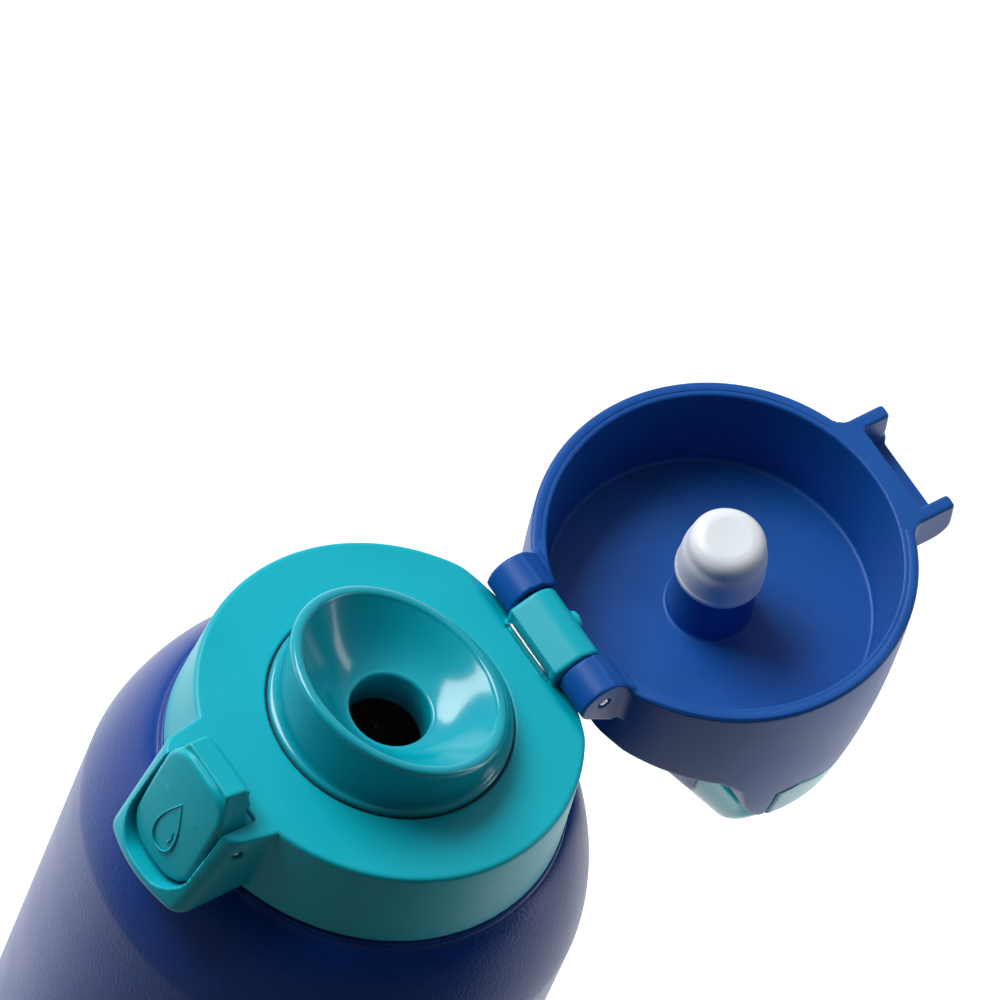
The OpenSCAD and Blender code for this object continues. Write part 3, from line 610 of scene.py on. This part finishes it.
def make_spout():
    """A skewed lathe: rings turn level at the foot and the hole and slope at the lip."""
    profile, lean = [], []

    def ring(r, h, slope):
        profile.append((r, h))
        lean.append(slope)

    half = SPOUT_LIP_W / 2
    lip_mid = SPOUT_LIP_R - half
    wall_r = SPOUT_R - SPOUT_FOOT_IN
    for r, h in ((SPOUT_R - 1.0, -DECK_T), (SPOUT_R, -DECK_T + 0.2), (SPOUT_R, 0.35),
                 (SPOUT_R - 0.08, 0.7), (SPOUT_R - 0.3, 0.95), (SPOUT_R - 0.7, 1.12),
                 (SPOUT_R - 1.15, 1.35), (SPOUT_R - 1.45, 1.9), (wall_r, SPOUT_FOOT_H)):
        ring(r, h, 0)
    for i in range(1, 17):
        t = i / 16
        ring(wall_r + (SPOUT_LIP_R - wall_r) * t * t,
             SPOUT_FOOT_H + (SPOUT_H - half - SPOUT_FOOT_H) * t, t)
    for r, h in arc((lip_mid, SPOUT_H - half), half, 0, 150, 22)[1:]:
        ring(r, h, 1)
    # The bowl leaves the lip along its tangent and is part of a ball down to the hole
    r0, h0 = profile[-1]
    for i in range(1, 33):
        t = i / 32
        r = r0 + (HOLE_R + HOLE_ROUND - r0) * t
        fall = BOWL_STEEP * t + (1 - BOWL_STEEP) * math.sin(t * math.pi / 2)
        ring(r, h0 + (BOWL_TOP_UP - h0) * fall, 1 - t)
    for r, h in arc((HOLE_R + HOLE_ROUND, BOWL_TOP_UP - HOLE_ROUND), HOLE_ROUND, 90, 180, 6):
        ring(r, h, 0)
    tube_r = HOLE_R + HOLE_TUBE_T
    for r, h in ((HOLE_R, -HOLE_DEPTH + 0.2), (HOLE_R + 0.2, -HOLE_DEPTH), (tube_r - 0.2, -HOLE_DEPTH),
                 (tube_r, -HOLE_DEPTH + 0.2), (tube_r, -3.6), (SPOUT_R - 4, -DECK_T - 0.6)):
        ring(r, h, 0)

    def place(i, p):
        k = lean[i]
        x, y, h = p
        # A sloped ring swings about the lip's centre line and shifts with it
        drop = -x * math.tan(SPOUT_TILT * k)
        return x * (1 - k * (1 - math.cos(SPOUT_TILT))) + SPOUT_SHIFT * k, y, h + drop * 0.985

    lathe("spout_body", profile, "lid", "spout_teal", ["spout"], Matrix.Translation((0, 0, TOP)),
          segments=224, rings=place)


# ---------------------------------------------------------------- hinge and latch hardware

HINGE_PIN_R, HINGE_PIN_HALF = 1.3, 20.1
LATCH_PIN_R, LATCH_PIN_HALF = 1.0, 15.1
SPRING_R, SPRING_WIRE_R, SPRING_TURNS = 2.6, 0.45, 3.25
SPRING_FROM, SPRING_TO = -4.45, -9.15
SPRING_LEG_X, SPRING_LEG_HALF, SPRING_LEG_UP = 38.65, 6.6, 0.95


def turned_pin(name, centre, r, half, body, replaces):
    """A pin along Y with chamfered ends and a small centre dimple."""
    end = [(r, half - 0.3), (r * 0.75, half), (r * 0.45, half), (r * 0.35, half - 0.1),
           (0.001, half - 0.15)]
    profile = [(p, -h) for p, h in end[::-1]] + end
    turn = Matrix.Translation(centre) @ Matrix.Rotation(math.radians(-90), 4, "X")
    return lathe(name, profile, body, "steel", replaces, turn, segments=40, closed=False)


def make_hardware():
    turned_pin("hinge_pin_rod", (HINGE_X, 0, HINGE_Z), HINGE_PIN_R, HINGE_PIN_HALF, "lid", ["hinge_pin"])
    turned_pin("latch_pin_rod", (LATCH_X, 0, LATCH_Z), LATCH_PIN_R, LATCH_PIN_HALF, "lid", ["latch_pin"])
    coil, steps = [], 110
    for i in range(steps + 1):
        a = math.pi - 2 * math.pi * SPRING_TURNS * i / steps
        coil.append((HINGE_X + SPRING_R * math.cos(a), SPRING_FROM + (SPRING_TO - SPRING_FROM) * i / steps,
                     HINGE_Z + SPRING_R * math.sin(a)))
    tube("hinge_spring_coil", coil, SPRING_WIRE_R, "lid", "steel", ["hinge_spring"])
    # The spring's long leg lies in the slot in front of the hinge, with both ends bent down
    span = [(-SPRING_LEG_HALF - 0.9, 0.2), (-SPRING_LEG_HALF - 0.7, 0.75)]
    span += [(-SPRING_LEG_HALF, SPRING_LEG_UP)]
    span += [(-SPRING_LEG_HALF + 13.4 * i / 8, SPRING_LEG_UP) for i in range(1, 9)]
    span += [(7.3, 0.75), (7.5, 0.2)]
    leg = [(SPRING_LEG_X, y, TOP + up) for y, up in span]
    tube("hinge_spring_leg", leg, SPRING_WIRE_R, "lid", "steel")


# ---------------------------------------------------------------- cap

# The cap is drawn shut, with heights measured from its rim, and then swung open
CAP_R, CAP_WALL, CAP_DEPTH, FLOOR_R = 45.4, 3.7, 24.4, 39.0
DECK_H, FRONT_H, EAR_H = 32.0, 62.0, 56.0
HANDLE_C, HANDLE_R, HANDLE_T, HANDLE_HALF = (-13.5, 73.2), 19.1, 7.0, 27.6
HOLE_C, HOLE_ARC = (HANDLE_C[0] + 0.6, HANDLE_C[1]), HANDLE_R - HANDLE_T
LEG_DEG, FOOT_DEG = 27, 150
LEG_FOOT, LEG_FOOT_IN = (33.4, DECK_H - 3.5), (21.5, DECK_H)
BOSS_R, BOSS_TOP = 9.7, CAP_DEPTH - 15.4
CAP_TAPER, CAP_TAPER_H, CAP_TAPER_N = 5.7, 64, 2.4
ARCH_ROUND, SEAM_HALF = 4.2, 0.04
HOOD_H, HOOD_X, HOOD_ROOF_T, HOOD_ROUND, HOOD_INNER = 12.6, 54.6, 2.3, 5.5, -40
CHEEK_Y, CHEEK_HALF = 13.75, 1.75
CATCH_LEDGE, CATCH_LEDGE_HALF = (-44.6, 0, 1.35), (2.4, 12.4, 1.35)
CAP_KNUCKLE_R, CAP_KNUCKLE_Y, CAP_KNUCKLE_HALF = 6.1, 15.325, 4.975
NOTCH_X, NOTCH_HALF, NOTCH_TOP = 38.8, 10.35, 7.6
COUNTERBORE_R, COUNTERBORE_HALF = 4.6, 11.4
PIN_BORE_R, PIN_BORE_HALF = 1.55, 18.2
PLUG_TIP, PLUG_R = -6.2, 10.6


def cap_wall(r, h):
    """Distance from the cap's outer wall, which draws in faster towards the top."""
    t = np.maximum(h, 0) / CAP_TAPER_H
    return (r - (CAP_R - CAP_TAPER * np.where(t < 1, t ** CAP_TAPER_N, t))) * 0.98


# The joint between the shell and the cover, and the shell's side view
SEAM = [(5.2, 43.4), (-0.8, 42.5), (-10.9, 48.4), (-20, 53.2), (-32, 57), (-60, 59.6)]
CAP_SIDE = [(-60, -3), (41.6, -3), (41.6, DECK_H - 7.5), (38.6, DECK_H - 5), (21, DECK_H), (18.6, 34.2),
            (15.2, 38.2), (13.8, 42.2), (12.1, 47.6), (10.6, 51.4), (8.7, 54.3), (6.9, EAR_H), (5.5, EAR_H),
            (5.0, EAR_H - 1)] + SEAM


def catch_hood(x, y, h):
    """Two cheeks and the roof between them, over the latch's hook."""
    ay = np.abs(y)
    outer = HOOD_X + np.clip(h / 9, 0, 1) * 0.7
    side = smax(-(x + outer), h - HOOD_H, HOOD_ROUND)
    cheek = smax(slab(ay - CHEEK_Y, CHEEK_HALF + np.clip((x + 45) * 0.22, 0, 1.8)), side, 0.9)
    cheek = smax(smax(cheek, -h, 0.8), x - HOOD_INNER, 0.5)
    roof = smax(smax(side, HOOD_H - HOOD_ROOF_T - h, 0.8), ay - 14, 0.5)
    roof = np.maximum(roof, x - HOOD_INNER)
    return smin(cheek, roof, 2.0)


def cap_knuckles(x, y, h):
    """The two outer knuckles with the webs that tie them to the wall."""
    barrel = np.sqrt((x - HINGE_X) ** 2 + (h - HINGE_UP + RIM_GAP) ** 2) - CAP_KNUCKLE_R
    web = polygon(x, h, [(38.6, 0), (HINGE_X - 2, -5.0), (HINGE_X + 6.0, 1.7), (HINGE_X + 4.4, 4.9),
                         (43.2, 12), (38.6, 12)])
    return smax(smin(barrel, web, 1.0), slab(np.abs(y) - CAP_KNUCKLE_Y, CAP_KNUCKLE_HALF), 0.8)


def cap_field(x, y, h):
    r = np.sqrt(x * x + y * y)
    s = smax(cap_wall(r, h), polygon(x, h, CAP_SIDE), 1.2)
    s = smax(s, -h, 0.8)
    s = smin(s, catch_hood(x, y, h), 1.6)
    s = smin(s, box(x, y, h, CATCH_LEDGE, CATCH_LEDGE_HALF, 0.5), 0.5)
    s = smin(s, cap_knuckles(x, y, h), 1.6)
    # Only the knuckles reach below the rim
    s = np.maximum(s, (np.minimum(0, (38.3 - x) * 0.794) - h) * 0.78)
    # Inside of the cap, with a rounded corner at the floor
    inner = (r - (CAP_R - CAP_WALL - 2.7 * h / CAP_DEPTH)) * 0.995
    s = smax(s, -smax(inner, h - CAP_DEPTH, 1.0), 0.6)
    boss = smax(r - (BOSS_R + 0.3 * (h - BOSS_TOP) / 15), BOSS_TOP - h, 0.8)
    boss = np.maximum(boss, h - CAP_DEPTH - 1)
    s = smin(s, boss, 0.9)
    # Notch for the collar's middle knuckle, counterbores beside it and the pin bore
    notch = np.maximum(np.maximum(NOTCH_X - x, slab(y, NOTCH_HALF)), h - NOTCH_TOP)
    s = smax(s, -notch, 0.8)
    bore = np.sqrt((x - HINGE_X) ** 2 + (h - HINGE_UP + RIM_GAP) ** 2)
    s = smax(s, -np.maximum(bore - COUNTERBORE_R, slab(y, COUNTERBORE_HALF)), 0.3)
    return smax(s, -np.maximum(bore - PIN_BORE_R, PIN_BORE_HALF - np.abs(y)), 0.2)


def leg_lines():
    """Where the leg's outer and inner lines meet the arch."""
    a = math.radians(LEG_DEG)
    out = (HANDLE_C[0] + HANDLE_R * math.cos(a), HANDLE_C[1] + HANDLE_R * math.sin(a))
    inn = (HOLE_C[0] + HOLE_ARC * math.cos(a), HOLE_C[1] + HOLE_ARC * math.sin(a))
    return out, inn


def handle_section(x, h):
    """The arch and the rear leg seen from the side."""
    out, _ = leg_lines()
    points = [LEG_FOOT, out] + arc(HANDLE_C, HANDLE_R, LEG_DEG, FOOT_DEG, 28)[1:]
    points += [(-41, FRONT_H + 0.2), (-41, FRONT_H - 1.6), (-24, FRONT_H - 2)]
    points += arc(HOLE_C, HOLE_ARC, 215, LEG_DEG, 24) + [LEG_FOOT_IN]
    return polygon(x, h, points)


def leg_seam(x, h):
    """Distance from the slanted joint between the rear leg and the arch, positive on the leg's side."""
    out, inn = leg_lines()

    def at(p, q, height):
        t = (height - p[1]) / (q[1] - p[1])
        return p[0] + (q[0] - p[0]) * t, height

    top, low = at(LEG_FOOT, out, 60), at(LEG_FOOT_IN, inn, DECK_H + 9)
    dx, dh = top[0] - low[0], top[1] - low[1]
    return ((x - low[0]) * dh - (h - low[1]) * dx) / math.hypot(dx, dh)


def handle_sides(x, y, h):
    """The arch's two flat ends, cut to the cap's wall."""
    r = np.sqrt(x * x + y * y)
    return smax(slab(y, HANDLE_HALF), cap_wall(r, h), 1.5)


def cover_field(x, y, h):
    r = np.sqrt(x * x + y * y)
    top = [(-60, FRONT_H + 0.4), (-30, FRONT_H), (-16, FRONT_H - 1.8), (-2.7, EAR_H + 1.8)]
    panel = polygon(x, h, [(4.6, EAR_H + 1), (4.6, 43.6)] + [(a, b + 0.12) for a, b in SEAM[1:]] + top)
    panel = smax(panel, cap_wall(r, h), 1.0)
    arch = smax(handle_section(x, h), handle_sides(x, y, h), ARCH_ROUND)
    arch = smax(arch, leg_seam(x, h) + SEAM_HALF, 0.5)
    return smin(panel, arch, 2.5)


def leg_field(x, y, h):
    s = smax(handle_section(x, h), handle_sides(x, y, h), ARCH_ROUND)
    s = smax(s, SEAM_HALF - leg_seam(x, h), 0.5)
    return np.maximum(s, DECK_H - 0.284 * (x - 21) + 0.02 - h)


def make_cap():
    swing = cap_swing()
    moulded("cap_body", cap_field, (-56.4, -46.4, -6.4), (54.4, 46.4, 61), STEP, "cap", "cap_blue",
            ["cap_shell"], swing)
    moulded("cap_top_cover", cover_field, (-46.2, -46, 41), (20.6, 46, 93.6), STEP, "cap", "cover_teal",
            ["cap_cover"], swing)
    moulded("handle_rear_leg", leg_field, (11, -29, 27), (35, 29, 62), STEP, "cap", "cap_blue",
            ["handle_leg"], swing)


def make_rim_bands():
    """The rim's outer band stands a hair proud; it ends beside the hinge and under the hood."""
    section = [(43.0, 0.2), (43.02, -0.1), (43.12, -0.16), (44.6, -0.16), (44.9, -0.08), (45.1, 0.3)]
    k, steps, fade = len(section), 96, 3
    for label, start, end in (("rim_band_left", 31, 160), ("rim_band_right", 200, 329)):
        points, faces = [], []
        for i in range(steps + 1):
            a = math.radians(start + (end - start) * i / steps)
            sink = 0.2 * max(0, 1 - min(i, steps - i) / fade)
            points += [(r * math.cos(a), r * math.sin(a), h + sink) for r, h in section]
        for i in range(steps):
            faces += [(i * k + n, (i + 1) * k + n, (i + 1) * k + (n + 1) % k, i * k + (n + 1) % k)
                      for n in range(k)]
        add_mesh(label, points, faces, "cap", "cap_blue", (), cap_swing())


def make_stopper():
    """A slightly conical cup with a faint ring on its tip, seated in the boss."""
    axis_r = 0.001
    tip = [(axis_r, 0), (5.0, 0), (5.3, -0.04), (5.6, 0), (6.3, 0.1), (7.1, 0.35), (7.9, 0.85), (8.5, 1.5),
           (8.95, 2.2), (9.2, 3.2)]
    side = [(9.3, -1.8), (9.42, -1.0), (9.8, -0.2), (10.05, 1.0), (10.2, 2.4), (10.3, 4.6), (10.35, 6.9),
            (10.4, 7.15), (10.55, 7.35), (PLUG_R, 7.7)]
    base = [(PLUG_R, BOSS_TOP - 0.4), (10.4, BOSS_TOP - 0.1), (10.1, BOSS_TOP - 0.02),
            (axis_r, BOSS_TOP - 0.02)]
    outline = [(r, PLUG_TIP + up) for r, up in tip] + side + base
    lathe("stopper_body", outline, "cap", "white_silicone", ["stopper"], cap_swing(), segments=96,
          closed=False)


# ---------------------------------------------------------------- stage, light and camera

def ramp_along(tree, source, way, low, high, from_strength, to_strength):
    """A value that grows from one strength to the other as a place or direction moves along way."""
    along = node(tree, "ShaderNodeVectorMath", operation="DOT_PRODUCT")
    tree.links.new(source, along.inputs[0])
    along.inputs[1].default_value = way
    ramp = node(tree, "ShaderNodeMapRange")
    tree.links.new(along.outputs["Value"], ramp.inputs["Value"])
    for key, value in (("From Min", low), ("From Max", high), ("To Min", from_strength),
                       ("To Max", to_strength)):
        ramp.inputs[key].default_value = value
    return ramp.outputs["Result"]


FLOOR_HALF = 6.0
FLOOR_GREY = 0.30
FLOOR_ACROSS = (0.80, 0.60, 0)
WORLD_ACROSS = (0.55, 0.60, 0.58)


def make_stage():
    corners = [(-FLOOR_HALF, -FLOOR_HALF, 0), (FLOOR_HALF, -FLOOR_HALF, 0),
               (FLOOR_HALF, FLOOR_HALF, 0), (-FLOOR_HALF, FLOOR_HALF, 0)]
    mesh = bpy.data.meshes.new("floor")
    mesh.from_pydata(corners, [], [(0, 1, 2, 3)])
    floor = bpy.data.objects.new("floor", mesh)
    bpy.context.scene.collection.objects.link(floor)
    paper = bpy.data.materials.new("paper")
    paper.use_nodes = True
    tree = paper.node_tree
    shader = tree.nodes["Principled BSDF"]
    shader.inputs["Base Color"].default_value = (FLOOR_GREY, FLOOR_GREY, FLOOR_GREY, 1)
    shader.inputs["Roughness"].default_value = 0.95
    shader.inputs["Specular IOR Level"].default_value = 0.1
    # The sweep glows softly, brighter towards its far side
    place = node(tree, "ShaderNodeNewGeometry")
    glow = ramp_along(tree, place.outputs["Position"], FLOOR_ACROSS, -0.16, 0.02, 0.05, 1.0)
    shader.inputs["Emission Color"].default_value = (1, 1, 1, 1)
    tree.links.new(glow, shader.inputs["Emission Strength"])
    mesh.materials.append(paper)


def area_light(name, place, aim, size, power, color=(1, 1, 1)):
    data = bpy.data.lights.new(name, "AREA")
    data.shape = "RECTANGLE"
    data.size, data.size_y = size
    data.energy = power
    data.color = color
    light = bpy.data.objects.new(name, data)
    bpy.context.scene.collection.objects.link(light)
    light.location = place
    light.rotation_euler = (Vector(aim) - Vector(place)).to_track_quat("-Z", "Y").to_euler()


CAMERA_RIGHT = Vector((0.80396, -0.54076, 0.24744)).normalized()
CAMERA_BACK = Vector((-0.48632, -0.35836, 0.79692)).normalized()
# How far the camera stands from the lid, how wide it sees there, and its aim right and up of the lid
CAMERA_DISTANCE, WIDTH_AT_LID = 3.304, 0.22797
AIM_RIGHT, AIM_UP = 0.024905, 0.047746
SENSOR_WIDTH = 36


def make_light():
    world = bpy.data.worlds.new("studio")
    bpy.context.scene.world = world
    world.use_nodes = True
    tree = world.node_tree
    background = tree.nodes["Background"]
    coords = node(tree, "ShaderNodeTexCoord")
    strength = ramp_along(tree, coords.outputs["Generated"], WORLD_ACROSS, -0.1, 1.0, 0.01, 0.5)
    background.inputs["Color"].default_value = (0.94, 0.97, 1.0, 1)
    tree.links.new(strength, background.inputs["Strength"])
    right = CAMERA_RIGHT
    up = CAMERA_BACK.cross(right).normalized()
    aim = Vector((0.03, 0, TOP * MM))
    # A large soft box above and behind, a narrow one at each side for the edge lights
    area_light("key_box", aim + Vector((-0.30, 0.75, 0.85)), aim, (0.8, 0.6), 15)
    area_light("left_box", aim - right * 1.1 + up * 0.25 - CAMERA_BACK * 0.25, aim, (0.16, 1.0), 1.3)
    area_light("right_box", aim + right * 1.1 - up * 0.1 - CAMERA_BACK * 0.15, aim, (0.16, 1.0), 1.8)


def make_camera():
    data = bpy.data.cameras.new("camera")
    camera = bpy.data.objects.new("camera", data)
    bpy.context.scene.collection.objects.link(camera)
    right = CAMERA_RIGHT
    back = (CAMERA_BACK - right * CAMERA_BACK.dot(right)).normalized()
    up = back.cross(right)
    data.sensor_width = SENSOR_WIDTH
    data.lens = SENSOR_WIDTH * CAMERA_DISTANCE / WIDTH_AT_LID
    target = Vector((0, 0, TOP * MM)) + right * AIM_RIGHT + up * AIM_UP
    turn = Matrix((right, up, back)).transposed().to_4x4()
    camera.matrix_world = Matrix.Translation(target + back * CAMERA_DISTANCE) @ turn
    data.clip_start, data.clip_end = 0.1, 20
    bpy.context.scene.camera = camera


STEP = 0.6
carry_over_nodes()
make_body()
make_collar()
make_drop_mark()
make_lever()
make_spout()
make_hardware()
make_cap()
make_rim_bands()
make_stopper()
make_stage()
make_light()
make_camera()
bpy.context.scene.view_settings.view_transform = "Standard"
